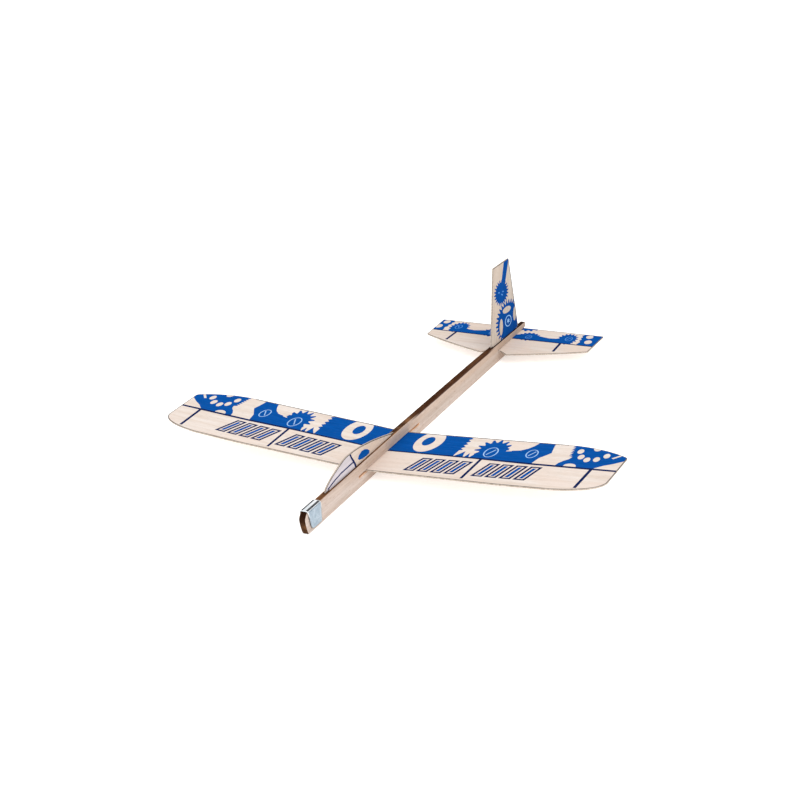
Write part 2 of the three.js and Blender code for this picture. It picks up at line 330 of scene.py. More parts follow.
BOARD_LIGHT = tone(207, 195, 188)
BOARD_DARK = tone(178, 159, 145)
BOARD_FLUSH = tone(200, 180, 168)
BOARD_CROWN = tone(190, 154, 124)
SCORCH_DEEP = tone(38, 18, 7)
SCORCH_WORN = tone(134, 92, 60)
SCORCH_THIN = tone(142, 100, 68)
SCORCH_OVER = tone(64, 32, 7)
BAND_DEPTH = 1.15
BAND_FADE = 0.3
SLIT_RAW = tone(222, 186, 156)
SLIT_SHADE = tone(196, 156, 124)

# Stations between which the board's colours change.
WARMS = (20.5, 130.5)
BROWNS = (40.5, 360.5)
RUBBED_ENDS = (100.5, 140.5)
DEEP_STARTS = (140.5, 160.5)
DEEP_ENDS = (290.5, 310.5)
HOLD_STARTS = (10.5, 14.5)
HOLD_ENDS = (23.5, 29.5)

# Heights between which they change, and distances out from the middle plane.
UPPER_SIDE = (8.0, 11.0)
CREST = (12.6, 13.4)
LOW_ENDS = (4.0, 10.5)
BROW = (6.5, 10.5)
TOP_CORNER = (1.0, 1.7)


def down_the_board(tree, at, start, end, out_start=0.0, out_end=1.0):
    """A value that changes along the board from one station to another."""
    return ranged(tree, at["Y"], along(start) * MM, along(end) * MM, out_start, out_end)


def up_the_board(tree, at, low, high, out_low=0.0, out_high=1.0):
    """A value that changes up the board from one height to another."""
    return ranged(tree, at["Z"], low * MM, high * MM, out_low, out_high)


def between_wing_and_fin(tree, at):
    """How far a spot lies in the stretch where the scorch is deepest, from the wing to the fin's foot."""
    from_wing = down_the_board(tree, at, *DEEP_STARTS)
    to_fin = down_the_board(tree, at, *DEEP_ENDS, 1.0, 0.0)
    return product(tree, from_wing, to_fin)


def over_corner(tree, at, patches):
    """A dark band along the top of the side, from the wing to the fin. It stands in for the width of a
    thicker board, whose side would be clean up to its corner. On a board of full width it comes out."""
    taper = down_the_board(tree, at, TAPER_FROM, FUSELAGE_LENGTH)
    levelled = summed(tree, at["Z"], taper, 1.0, (MIDDLE_DEPTH - TAIL_DEPTH) * MM)
    uneven = summed(tree, levelled, patches, 1.0, BAND_FADE * MM)
    border = MIDDLE_DEPTH - BAND_DEPTH + BAND_FADE / 2
    reached = ranged(tree, uneven, (border - BAND_FADE) * MM, (border + BAND_FADE) * MM)
    return product(tree, reached, between_wing_and_fin(tree, at))


def board_side(name):
    """The board's sides: a little warmer towards the scorched top edge, browner towards the tail."""
    finish, tree, shader = new_finish(name, 0.12)
    bands = ranged(tree, figured(tree, (1.0, 0.03, 1.0), 330.0, 4.0, 0.3), 0.34, 0.68)
    streaks = ranged(tree, figured(tree, (1.0, 0.04, 1.0), 1100.0, 3.0, 0.1), 0.4, 0.66)
    pores = ranged(tree, figured(tree, (1.0, 0.08, 1.0), 2600.0, 2.0), 0.56, 0.72)
    patches = ranged(tree, figured(tree, (1.0, 0.5, 1.0), 40.0, 2.0, 0.4), 0.36, 0.66)
    at = spot(tree)
    crown = product(tree, up_the_board(tree, at, *UPPER_SIDE), down_the_board(tree, at, *WARMS, 0.12, 0.32))
    rearward = down_the_board(tree, at, *BROWNS, 0.0, 0.72)
    wood = blended(tree, bands, BOARD_LIGHT, BOARD_DARK)
    wood = blended(tree, ranged(tree, patches, 0.0, 1.0, 0.0, 0.45), wood, BOARD_FLUSH)
    wood = blended(tree, rearward, wood, BOARD_DARK)
    wood = blended(tree, crown, wood, BOARD_CROWN)
    wood = blended(tree, ranged(tree, streaks, 0.0, 1.0, 0.0, 0.35), wood, BOARD_DARK)
    wood = blended(tree, ranged(tree, pores, 0.0, 1.0, 0.0, 0.4), wood, SCORCH_WORN)
    wood = blended(tree, over_corner(tree, at, patches), wood, SCORCH_OVER)
    feed(tree, shader.inputs["Base Color"], wood)
    feed(tree, shader.inputs["Roughness"], ranged(tree, streaks, 0.0, 1.0, 0.66, 0.8))
    raised(tree, shader, summed(tree, pores, streaks, -1.0, 0.5), 0.4, 0.00014)
    return finish


def scorched_edge():
    """The board's sawn edges, burnt unevenly: deepest at the brow of the nose, rubbed thin at the
    top corners ahead of the wing and just behind the nose clip, where the glider is held."""
    finish, tree, shader = new_finish("board_scorched_edge", 0.04)
    burn = ranged(tree, figured(tree, (0.7, 0.28, 0.6), 150.0, 4.0, 0.6), 0.42, 0.72)
    fibres = ranged(tree, figured(tree, (1.0, 0.06, 0.1), 1500.0, 3.0), 0.4, 0.66)
    at = spot(tree)
    sideways = tree.nodes.new("ShaderNodeMath")
    sideways.operation = "ABSOLUTE"
    tree.links.new(at["X"], sideways.inputs[0])
    corner = ranged(tree, sideways.outputs[0], TOP_CORNER[0] * MM, TOP_CORNER[1] * MM)
    crest = up_the_board(tree, at, *CREST)
    ahead = down_the_board(tree, at, *RUBBED_ENDS, 0.7, 0.0)
    rubbed = product(tree, product(tree, corner, crest), ahead)
    below = up_the_board(tree, at, *LOW_ENDS, 0.2, 0.0)
    held_from = down_the_board(tree, at, *HOLD_STARTS)
    held_to = down_the_board(tree, at, *HOLD_ENDS, 0.55, 0.0)
    handled = product(tree, crest, product(tree, held_from, held_to))
    at_nose = down_the_board(tree, at, *HOLD_STARTS, 0.85, 0.0)
    brow = product(tree, at_nose, up_the_board(tree, at, *BROW))
    char = blended(tree, burn, SCORCH_DEEP, SCORCH_WORN)
    char = blended(tree, ranged(tree, fibres, 0.0, 1.0, 0.0, 0.45), char, SCORCH_DEEP)
    deepest = ranged(tree, between_wing_and_fin(tree, at), 0.0, 1.0, 0.0, 0.75)
    char = blended(tree, deepest, char, SCORCH_OVER)
    char = blended(tree, below, char, SCORCH_WORN)
    char = blended(tree, rubbed, char, SCORCH_THIN)
    char = blended(tree, handled, char, SCORCH_WORN)
    char = blended(tree, brow, char, SCORCH_DEEP)
    feed(tree, shader.inputs["Base Color"], char)
    feed(tree, shader.inputs["Roughness"], ranged(tree, fibres, 0.0, 1.0, 0.72, 0.9))
    raised(tree, shader, fibres, 0.5, 0.0002)
    return finish


def slit_inside():
    """Fresh wood inside the slits, only faintly browned by the saw."""
    finish, tree, shader = new_finish("board_slit_inside", 0.05)
    fibres = ranged(tree, figured(tree, (1.0, 0.06, 1.0), 1500.0, 3.0), 0.4, 0.66)
    feed(tree, shader.inputs["Base Color"], blended(tree, fibres, SLIT_RAW, SLIT_SHADE))
    feed(tree, shader.inputs["Roughness"], ranged(tree, fibres, 0.0, 1.0, 0.74, 0.9))
    raised(tree, shader, fibres, 0.4, 0.0002)
    return finish


def board_outline():
    """The board from the side, with the stabiliser's open slit in its tail."""
    slit_front, slit_rear, slit_bottom, slit_top = TAIL_SLIT
    loop = [(along(nose_face(0)), 0.0), (along(FUSELAGE_LENGTH), 0.0)]
    loop.append((along(slit_rear), slit_bottom))
    loop.append((along(slit_front), slit_bottom))
    loop.append((along(slit_front), slit_top))
    loop.append((along(slit_rear), slit_top))
    loop.append((along(FUSELAGE_LENGTH), TAIL_DEPTH))
    loop.append((along(TAPER_FROM), MIDDLE_DEPTH))
    loop.append((along(FULL_DEPTH_FROM), MIDDLE_DEPTH))
    loop.append((along(NOSE_FALLBACK_TOP), NOSE_DEPTH))
    for step in range(1, CURVE_STEPS):
        height = NOSE_DEPTH * (1 - step / CURVE_STEPS)
        loop.append((along(nose_face(height)), height))
    return loop


def on_edge(thickness):
    """How an upright sheet lies in the middle plane."""
    return lambda y, z, level: (level * thickness / 2, y, z)


def top_slit(front, rear, depth):
    """A block that leaves a slit in the board's top edge for a tab of the given depth."""
    floor = min(top_edge(front), top_edge(rear)) - depth - SLIT_GAP
    half = SHEET_THICKNESS / 2 + SLIT_GAP
    low = Vector((-half, along(front - SLIT_GAP), floor))
    high = Vector((half, along(rear + SLIT_GAP), MIDDLE_DEPTH + SAW_CLEARANCE))
    shape = bmesh.new()
    bmesh.ops.create_cube(shape, size=1.0)
    for corner in shape.verts:
        corner.co = Vector(low[i] if corner.co[i] < 0 else high[i] for i in range(3)) * MM
    mesh = bpy.data.meshes.new("slit_block")
    shape.to_mesh(mesh)
    shape.free()
    mesh.materials.append(slit_wood)
    block = bpy.data.objects.new("slit_block", mesh)
    bpy.context.scene.collection.objects.link(block)
    return block


CANOPY_FRONT = 27.6
CANOPY_LENGTH = 93.4
CANOPY_REAR = CANOPY_FRONT + CANOPY_LENGTH
CANOPY_SHOULDER = 4.0
CANOPY_TAB_DEPTH = 3.4
CANOPY_TAB = (CANOPY_FRONT + CANOPY_SHOULDER, CANOPY_REAR - CANOPY_SHOULDER, CANOPY_TAB_DEPTH)
FIN_INSET = 13.5
FIN_ROOT_CHORD = 64.0
FIN_REAR = FUSELAGE_LENGTH - FIN_INSET
FIN_FRONT = FIN_REAR - FIN_ROOT_CHORD
FIN_SHOULDER = 2.5
FIN_TAB_DEPTH = 3.2
FIN_TAB = (FIN_FRONT + FIN_SHOULDER, FIN_REAR - FIN_SHOULDER, FIN_TAB_DEPTH)

scorch = scorched_edge()
slit_wood = slit_inside()
board = cut_out(
    "fuselage_board",
    board_outline(),
    on_edge(FUSELAGE_THICKNESS),
    [board_side("board_side"), scorch, board_side("board_corner"), slit_wood],
    (BOARD_EDGE_WIDTH, BOARD_EDGE_DROP),
    holes=[rectangle(along(WING_SLIT[0]), along(WING_SLIT[1]), WING_SLIT[2], WING_SLIT[3])],
)
for tab in (CANOPY_TAB, FIN_TAB):
    block = top_slit(*tab)
    saw = board.modifiers.new("slit", "BOOLEAN")
    saw.operation = "DIFFERENCE"
    saw.solver = "EXACT"
    saw.material_mode = "TRANSFER"
    saw.object = block
    sawn = bpy.data.meshes.new_from_object(board.evaluated_get(bpy.context.evaluated_depsgraph_get()))
    board.modifiers.clear()
    board.data = sawn
    bpy.data.objects.remove(block)
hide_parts("fuselage")
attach(board, "fuselage")


# ---------------------------------------------------------------------------
# Wing. One sheet of soft balsa, die-cut, scored along the middle and bent to a
# shallow V. Its upper face is printed in blue with a band of wheels and rings,
# a row of outlined bars ahead of it, and dark panel lines; the back is bare.

WING_SPAN = (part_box("wing")[1].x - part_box("wing")[0].x) / MM
WING_LEAD = 76.9
WING_ROOT_CHORD = 64.2
WING_TRAIL = WING_LEAD + WING_ROOT_CHORD
WING_HEIGHT = 6.9
DIHEDRAL = math.radians(4.5)
WING_SLOPE = math.tan(DIHEDRAL)
WING_UPRIGHT = SHEET_THICKNESS / math.cos(DIHEDRAL)
LEAD_ADVANCE = 3.8
LEAD_ADVANCE_SPAN = 88.0
LEAD_ROUND_SPAN = 32.0
LEAD_ROUND_CHORD = 15.8
TIP_RAKE = 2.6
TRAIL_ROUND_SPAN = 40.0
TRAIL_ROUND_CHORD = 13.6
TRAIL_TAPER = 2.4
TIP_CORNER = 1.6
CORNER_STEPS = 5
SHEET_EDGE = (0.6, 0.08)

WING_WOOD = (tone(228, 217, 209), tone(216, 200, 187), tone(226, 206, 193))
SHEET_END_LIGHT = tone(204, 192, 180)
SHEET_END_DARK = tone(168, 154, 140)
# The line round each printed sheet's face edge: partly the corner crushed by the die, partly painted shade
# of the cut edge.
DIE_LINE_AND_SHADE_LIGHT = tone(130, 120, 113)
DIE_LINE_AND_SHADE_DARK = tone(86, 80, 78)
BLUE_INK = tone(8, 74, 148)
NAVY_INK = tone(18, 34, 78)
PALE_INK = tone(140, 180, 222)

BLUE = 3
NAVY = 4
PALE = 5

GRAIN_ALONG = {"X": (0.045, 1.0, 1.0), "Y": (1.0, 0.045, 1.0), "Z": (1.0, 1.0, 0.045)}
PORE_ALONG = {"X": (0.09, 1.0, 1.0), "Y": (1.0, 0.09, 1.0), "Z": (1.0, 1.0, 0.09)}


def balsa(name, light, dark, flush, grain, ink=None, cover=1.0):
    """Sanded sheet balsa: growth bands and short open pores along the grain, with a faint flush of
    warmer colour. An ink lies over it thinly, so that the pores still show through."""
    finish, tree, shader = new_finish(name, 0.12 if ink is None else 0.0)
    bands = ranged(tree, figured(tree, GRAIN_ALONG[grain], 240.0, 4.0, 0.25), 0.34, 0.68)
    streaks = ranged(tree, figured(tree, GRAIN_ALONG[grain], 820.0, 3.0, 0.1), 0.38, 0.66)
    pores = ranged(tree, figured(tree, PORE_ALONG[grain], 2300.0, 2.0), 0.56, 0.72)
    patches = ranged(tree, figured(tree, (1.0, 1.0, 1.0), 34.0, 2.0, 0.4), 0.36, 0.66)
    wood = blended(tree, bands, light, dark)
    wood = blended(tree, ranged(tree, patches, 0.0, 1.0, 0.0, 0.55), wood, flush)
    wood = blended(tree, ranged(tree, streaks, 0.0, 1.0, 0.0, 0.3), wood, dark)
    open_pore = tuple(0.62 * part for part in dark[:3]) + (1.0,)
    wood = blended(tree, ranged(tree, pores, 0.0, 1.0, 0.0, 0.38), wood, open_pore)
    if ink is None:
        feed(tree, shader.inputs["Base Color"], wood)
        feed(tree, shader.inputs["Roughness"], ranged(tree, streaks, 0.0, 1.0, 0.66, 0.8))
    else:
        lean_ink = tuple(1.2 * part + 0.001 for part in ink[:3]) + (1.0,)
        film = blended(tree, streaks, ink, lean_ink)
        covered = blended(tree, ranged(tree, pores, 0.0, 1.0, cover, cover - 0.025), wood, film)
        feed(tree, shader.inputs["Base Color"], covered)
        feed(tree, shader.inputs["Roughness"], ranged(tree, streaks, 0.0, 1.0, 0.6, 0.74))
    raised(tree, shader, summed(tree, pores, streaks, -1.0, 0.5), 0.35, 0.00012)
    return finish


def curve(start, aim, end, steps=CURVE_STEPS):
    """Points after start on a curve that sets out for aim and arrives at end."""
    found = []
    for step in range(1, steps + 1):
        t = step / steps
        weights = ((1 - t) ** 2, 2 * t * (1 - t), t * t)
        found.append(tuple(sum(w * p[i] for w, p in zip(weights, (start, aim, end))) for i in range(2)))
    return found


def rounded(start, corner, after, radius):
    """Points round a corner, between the line that arrives and the line that leaves."""
    arriving = (Vector(start) - Vector(corner)).normalized() * radius
    leaving = (Vector(after) - Vector(corner)).normalized() * radius
    first = tuple(Vector(corner) + arriving)
    return [first, *curve(first, corner, tuple(Vector(corner) + leaving), CORNER_STEPS)]


def wing_outline():
    """The whole wing laid flat, from the crease round the port tip and back round the other."""
    tip = WING_SPAN / 2
    lead = along(WING_LEAD)
    trail = along(WING_TRAIL)
    foremost = lead - LEAD_ADVANCE
    tip_front = (tip - TIP_RAKE, foremost + LEAD_ROUND_CHORD)
    turn = (tip - TRAIL_ROUND_SPAN, trail - TRAIL_TAPER)
    tip_rear = (tip, turn[1] - TRAIL_ROUND_CHORD)
    round_start = (tip - LEAD_ROUND_SPAN, foremost)
    aim = (tip - TRAIL_ROUND_SPAN * 0.44, turn[1] - 1)
    half = [(LEAD_ADVANCE_SPAN, foremost), round_start]
    half += curve(round_start, (tip - TIP_RAKE - 1.6, foremost + 3), tip_front)
    corner = rounded(tip_front, tip_rear, aim, TIP_CORNER)
    half += corner
    half += curve(corner[-1], aim, turn)
    other = [(-x, y) for x, y in reversed(half)]
    return [(0.0, lead), *half, (0.0, trail), *other]


def bent(x, y, level):
    """How the wing sheet lies: both panels rise straight from the crease."""
    return (x, y, WING_HEIGHT + abs(x) * WING_SLOPE + WING_UPRIGHT * (level + 1) / 2)


def oval(x, y, half_x, half_y, steps=44):
    """A round or oval outline."""
    turns = [2 * math.pi * step / steps for step in range(steps)]
    return [(x + half_x * math.cos(t), y + half_y * math.sin(t)) for t in turns]


def wheel(x, y, half_x, half_y, teeth, tooth):
    """A toothed wheel: tooth is the share of its radius that the teeth take."""
    found = []
    for number in range(teeth):
        for part, reach in ((0.0, 1 - tooth), (0.3, 1.0), (0.5, 1.0), (0.8, 1 - tooth)):
            t = 2 * math.pi * (number + part) / teeth
            found.append((x + half_x * reach * math.cos(t), y + half_y * reach * math.sin(t)))
    return found


def stripe(start, end, width):
    """A straight printed line of some width."""
    run = (Vector(end) - Vector(start)).normalized()
    side = Vector((-run.y, run.x)) * width / 2
    corners = (Vector(start) - side, Vector(end) - side, Vector(end) + side, Vector(start) + side)
    return [tuple(corner) for corner in corners]


def screw_head(x, y, half_x, half_y, line):
    """A pale oval ring with a slanting slot, on blue."""
    slot = stripe((x - half_x * 0.4, y - half_y * 0.52), (x + half_x * 0.42, y + half_y * 0.56), line)
    return [
        (PALE, oval(x, y, half_x, half_y)),
        (BLUE, oval(x, y, half_x - line, half_y - line)),
        (PALE, slot),
    ]


BAR_GROUPS = (30.6, 74.6, -103.6, -59.4)
BARS_IN_GROUP = 4
BAR_PITCH = 8.8
BAR_FRONT = 81.2
BAR_REAR = 101.6
BAR_WIDTH = 7.2
BAR_LEAN = 5.0
BAR_LINE = 1.6
BAR_GROUND = 0.9


def leaning_bar(x, front, rear):
    """A leaning bar: dark outline, bare inside and a thin blue core."""
    found = []
    for ink, inset in ((NAVY, 0.0), (BARE, BAR_LINE), (BLUE, BAR_LINE + BAR_GROUND)):
        half = BAR_WIDTH / 2 - inset
        lean = BAR_LEAN * (1 - 2 * inset / (rear - front))
        loop = [
            (x - lean / 2 - half, front + inset),
            (x - lean / 2 + half, front + inset),
            (x + lean / 2 + half, rear - inset),
            (x + lean / 2 - half, rear - inset),
        ]
        found.append((ink, loop))
    return found


PAST_MIDDLE = -12.0
PAST_WING_TIP = 165.0
ROOT_TEETH = 6
ROOT_TOOTH = 4.6
TIP_TEETH = 8
TIP_TOOTH = 2.5
DOT_STEPS = 28


def wing_half_print():
    """One half's print, as distances out from the middle and back from the nose. The band runs on
    past the middle and the tip, so that the halves meet under the board and the ink fills the tip."""
    found = []
    root = [(PAST_MIDDLE, 108.3), (46.8, 107.0), (47.3, 117.0)]
    for number in range(ROOT_TEETH):
        back = ROOT_TOOTH * number
        root += [(49.6, 118.6 + back), (47.3, 120.8 + back)]
    root += [(47.3, 148.0), (PAST_MIDDLE, 148.0)]
    found.append((BLUE, root))
    found.append((BLUE, [(46.5, 107.0), (53.6, 106.8), (52.6, 112.0), (51.9, 116.8), (50.0, 112.5)]))
    found.append((BLUE, [(54.0, 106.8), (57.6, 106.6), (56.6, 110.5), (55.9, 114.4), (54.9, 110.8)]))
    saddle = [(57.2, 106.6), (98.0, 104.5), (100.4, 115.5), (93.0, 123.0), (80.0, 122.0), (60.5, 117.0)]
    found.append((BLUE, saddle))
    found.append((BLUE, wheel(68.4, 122.4, 11.8, 15.8, 14, 0.27)))
    lobe = [(80.0, 105.5), (98.0, 104.5), (98.6, 110.5), (100.6, 115.4), (103.2, 119.6), (105.6, 123.8)]
    lobe += [(104.9, 128.6), (104.3, 134.0), (103.6, 146.0), (95.2, 146.0), (93.8, 138.6), (92.0, 132.9)]
    lobe += [(89.2, 127.8), (85.4, 124.2), (80.4, 122.9)]
    found.append((BLUE, lobe))
    hollow = [(77.9, 124.0), (80.4, 122.9), (85.4, 124.2), (89.2, 127.8), (92.0, 132.9), (93.8, 138.6)]
    hollow += [(95.2, 146.0), (78.6, 146.0), (77.0, 134.0)]
    found.append((BARE, hollow))
    tip = [(112.6, 104.2), (114.0, 110.0), (116.0, 113.6), (118.6, 116.8), (119.6, 120.4)]
    for number in range(TIP_TEETH):
        inward = 0.22 * number
        back = TIP_TOOTH * number
        tip += [(117.0 - inward, 121.8 + back), (118.8 - inward, 123.1 + back)]
    tip += [(116.6, 148.0), (PAST_WING_TIP, 148.0), (PAST_WING_TIP, 131.5), (151.4, 119.6)]
    tip += [(146.2, 114.6), (141.0, 110.8), (136.6, 106.0), (136.0, 103.6)]
    found.append((BLUE, tip))

    found.append((BARE, oval(22.9, 127.6, 9.1, 17.2)))
    found.append((BLUE, oval(22.0, 128.0, 3.7, 7.3)))
    found += screw_head(68.3, 118.0, 4.4, 7.8, 0.78)
    found += screw_head(94.2, 120.4, 3.7, 6.6, 0.72)
    for x, y in ((124.8, 121.3), (129.3, 117.8), (134.8, 119.3), (139.5, 125.5), (122.3, 129.6)):
        found.append((BARE, oval(x, y, 1.95, 3.6, DOT_STEPS)))
    found.append((BARE, oval(121.8, 106.6, 3.8, 3.9, DOT_STEPS)))
    found.append((BARE, oval(131.5, 137.6, 2.8, 6.0, DOT_STEPS)))
    found.append((BARE, stripe((143.6, 122.2), (147.6, 127.4), 1.7)))

    front_line = [(PAST_MIDDLE, 108.1), (60, 106.2), (97, 104.2), (PAST_WING_TIP, 103.1)]
    front_line += [(PAST_WING_TIP, 105.4), (97, 106.6), (60, 108.2), (PAST_MIDDLE, 109.6)]
    found.append((NAVY, front_line))
    # Painted shade: a dark line along the trailing edge, in the colour of the line round the face's edge,
    # standing in for the shaded edge.
    found.append((RIM, stripe((PAST_MIDDLE, 140.9), (112.4, 138.25), 1.6)))
    found.append((NAVY, stripe((64.5, 76.6), (66.1, 106.4), 1.8)))
    found.append((NAVY, stripe((133.3, 77.2), (135.6, 104.2), 1.9)))
    return found


PRINT_DRIFT = 7.6
DRIFT_REACH = 105.0


def wing_print():
    """Both halves. The port half is set as drawn; on the other the roller ran a little outboard."""
    found = []
    for ink, loop in wing_half_print():
        found.append((ink, [(x, along(y)) for x, y in loop]))
    for ink, loop in wing_half_print():
        drift = [x + PRINT_DRIFT * max(0.0, 1 - abs(x) / DRIFT_REACH) for x, _ in loop]
        found.append((ink, [(-x, along(y)) for x, (_, y) in zip(drift, loop)]))
    for first in BAR_GROUPS:
        for number in range(BARS_IN_GROUP):
            for ink, loop in leaning_bar(first + BAR_PITCH * number, BAR_FRONT, BAR_REAR):
                found.append((ink, [(u, along(v)) for u, v in loop]))
    return found


def sheet_end(name, light, dark):
    """The die-cut edge of a sheet: crushed end grain. In darker colours it also makes the line round a
    printed face's edge, which is partly the corner crushed by the die and partly painted shade of the cut
    edge.
    """
    finish, tree, shader = new_finish(name, 0.06)
    fuzz = ranged(tree, figured(tree, (1.0, 1.0, 1.0), 900.0, 4.0), 0.36, 0.66)
    stain = ranged(tree, figured(tree, (1.0, 1.0, 1.0), 70.0, 2.0), 0.36, 0.66)
    colour = blended(tree, fuzz, light, dark)
    colour = blended(tree, ranged(tree, stain, 0.0, 1.0, 0.0, 0.5), colour, dark)
    feed(tree, shader.inputs["Base Color"], colour)
    feed(tree, shader.inputs["Roughness"], ranged(tree, fuzz, 0.0, 1.0, 0.78, 0.92))
    raised(tree, shader, fuzz, 0.4, 0.00015)
    return finish


cut_edge = sheet_end("balsa_cut_edge", SHEET_END_LIGHT, SHEET_END_DARK)
# The rim of every printed sheet takes this darker finish: the die-crushed corner, plus painted shade of the
# cut edge.
die_line_and_shade = sheet_end("balsa_die_line", DIE_LINE_AND_SHADE_LIGHT, DIE_LINE_AND_SHADE_DARK)


def printed_sheet(name, wood, grain, inks):
    """A printed sheet's finishes: its bare face, its cut edge, the line round its face's edge (partly
    die-crushed, partly painted shade of the edge), then each ink and how well that covers the wood."""
    found = [balsa(f"{name}_balsa", *wood, grain), cut_edge, die_line_and_shade]
    for ink_name, ink, cover in inks:
        found.append(balsa(f"{name}_{ink_name}", *wood, grain, ink, cover))
    return found


WING_INKS = [("blue_print", BLUE_INK, 1.0), ("navy_print", NAVY_INK, 1.0), ("pale_print", PALE_INK, 0.9)]
wing = cut_out(
    "wing_sheet",
    wing_outline(),
    bent,
    printed_sheet("wing", WING_WOOD, "X", WING_INKS),
    SHEET_EDGE,
    folds=[((0.0, along(WING_LEAD)), (0.0, along(WING_TRAIL)))],
    prints=wing_print(),
)
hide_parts("wing")
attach(wing, "wing")


# ---------------------------------------------------------------------------
# Stabiliser. A flat die-cut sheet slid into the tail slit from behind, with a
# notch in its front edge that beds on the end of the slit. It carries the same
# blue print as the wing along its rear edge, on its upper face only.

STABILISER_SPAN = (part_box("stabiliser")[1].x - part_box("stabiliser")[0].x) / MM
STABILISER_INSET = 2.8
STABILISER_CHORD = 69.8
STABILISER_REAR = FUSELAGE_LENGTH - STABILISER_INSET
STABILISER_FRONT = STABILISER_REAR - STABILISER_CHORD
STABILISER_HEIGHT = 8.1
STABILISER_SWEEP = 27.8
STABILISER_RAKE = 2.0
LEAD_BULGE = 1.6
NOTCH_DEPTH = 6.6
NOTCH_MOUTH = 21.6
NOTCH_FLOOR = 6.6
SHEET_CORNER = 1.5
PAST_TAIL_TIP = 90.0
TAIL_PRINT_DRIFT = 4.8


def stabiliser_outline():
    """The stabiliser from above, from the notch round the port tip and back."""
    tip = STABILISER_SPAN / 2
    front = along(STABILISER_FRONT)
    rear = along(STABILISER_REAR)
    mouth = (NOTCH_MOUTH / 2, front)
    tip_front = (tip - STABILISER_RAKE, front + STABILISER_SWEEP)
    tip_rear = (tip, rear)
    bow = ((mouth[0] + tip_front[0]) / 2, (front + tip_front[1]) / 2 - 2 * LEAD_BULGE)
    swept_end = (tip_front[0] - SHEET_CORNER, tip_front[1] - SHEET_CORNER / 2)
    half = [(NOTCH_FLOOR / 2, front + NOTCH_DEPTH), mouth]
    half += curve(mouth, bow, swept_end)[:-1]
    half += rounded(swept_end, tip_front, tip_rear, SHEET_CORNER)
    half += rounded(tip_front, tip_rear, (-tip, rear), SHEET_CORNER)
    return half + [(-x, y) for x, y in reversed(half)]


def level_sheet(x, y, level):
    """How the stabiliser lies: flat, square across the board."""
    return (x, y, STABILISER_HEIGHT + SHEET_THICKNESS * (level + 1) / 2)


def stabiliser_half_print():
    """One half's print, as distances out from the middle and back from the nose."""
    found = []
    band = [(PAST_MIDDLE, 348.2), (43.0, 348.6), (50.5, 349.0), (50.0, 356.5), (36.0, 359.4)]
    band += [(30.0, 358.2), (22.0, 360.6), (12.0, 364.0), (PAST_MIDDLE, 352.0)]
    found.append((BLUE, band))
    found.append((BLUE, wheel(13.2, 357.0, 9.6, 10.8, 15, 0.18)))
    found.append((BLUE, wheel(44.6, 361.4, 8.4, 14.4, 16, 0.2)))
    tip = [(55.2, 348.8), (PAST_TAIL_TIP, 349.6), (PAST_TAIL_TIP, 390.0), (53.6, 390.0)]
    tip += [(54.8, 376.0), (53.4, 373.5)]
    tip += [(55.2, 370.5), (54.0, 367.5), (55.8, 364.5), (54.6, 361.0), (56.4, 357.5), (55.4, 353.5)]
    found.append((BLUE, tip))
    found.append((BLUE, wheel(5.0, 384.0, 12.4, 14.4, 15, 0.2)))
    found.append((BARE, oval(62.4, 359.4, 2.9, 4.9, DOT_STEPS)))
    found.append((BARE, oval(60.2, 372.4, 2.8, 4.4, DOT_STEPS)))
    found += screw_head(13.4, 356.3, 2.6, 4.6, 0.6)
    found += screw_head(45.6, 362.4, 2.9, 5.6, 0.65)
    front_line = [(PAST_MIDDLE, 347.6), (PAST_TAIL_TIP, 349.0)]
    front_line += [(PAST_TAIL_TIP, 350.8), (PAST_MIDDLE, 349.4)]
    found.append((NAVY, front_line))
    # Painted shade: a dark line along the trailing edge, in the colour of the line round the face's edge,
    # standing in for the shaded edge.
    found.append((RIM, stripe((PAST_MIDDLE, 377.75), (PAST_TAIL_TIP, 377.75), 1.6)))
    found.append((NAVY, stripe((42.9, 327.6), (42.5, 348.8), 2.0)))
    return found


def stabiliser_print():
    """Both halves, with the other one set outboard as on the wing."""
    found = []
    for side, drift in ((1, 0.0), (-1, TAIL_PRINT_DRIFT)):
        for ink, loop in stabiliser_half_print():
            found.append((ink, [(side * (x + drift), along(y)) for x, y in loop]))
    return found


SKY_INK = tone(84, 134, 196)
TAIL_WOOD = (tone(222, 210, 201), tone(211, 194, 180), tone(221, 200, 185))
TAIL_INKS = [("blue_print", BLUE_INK, 1.0), ("navy_print", NAVY_INK, 1.0), ("sky_print", SKY_INK, 1.0)]

stabiliser = cut_out(
    "stabiliser_sheet",
    stabiliser_outline(),
    level_sheet,
    printed_sheet("stabiliser", TAIL_WOOD, "X", TAIL_INKS),
    SHEET_EDGE,
    prints=stabiliser_print(),
)
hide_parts("stabiliser")
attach(stabiliser, "stabiliser")


# ---------------------------------------------------------------------------
# Fin. An upright die-cut sheet whose tab presses down into the slit in the top
# edge over the tail. A blue stripe and two toothed wheels are printed on both of
# its faces, with the grain of the wood running up it.

FIN_TIP_CHORD = 35.5
FIN_LEAD_SLOPE = 2.5
FIN_TOP_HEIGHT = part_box("fin")[1].z / MM
FIN_CORNER = 1.5
FIN_REAR_SHADE_LINE = 1.4
SMALL_WHEEL = (325.4, 53.4)
LARGE_WHEEL = (342.6, 25.6)
WHEEL_SLOPE = 0.14
SKY = 6


def tabbed_base(front, rear, tab):
    """The lower edge of an upright sheet: shoulders rest on the board and the tab goes in between."""
    tab_front, tab_rear, depth = tab
    floor = min(top_edge(tab_front), top_edge(tab_rear)) - depth
    return [
        (along(front), top_edge(front) + SLIT_GAP),
        (along(tab_front), top_edge(tab_front) + SLIT_GAP),
        (along(tab_front), floor),
        (along(tab_rear), floor),
        (along(tab_rear), top_edge(tab_rear) + SLIT_GAP),
        (along(rear), top_edge(rear) + SLIT_GAP),
    ]


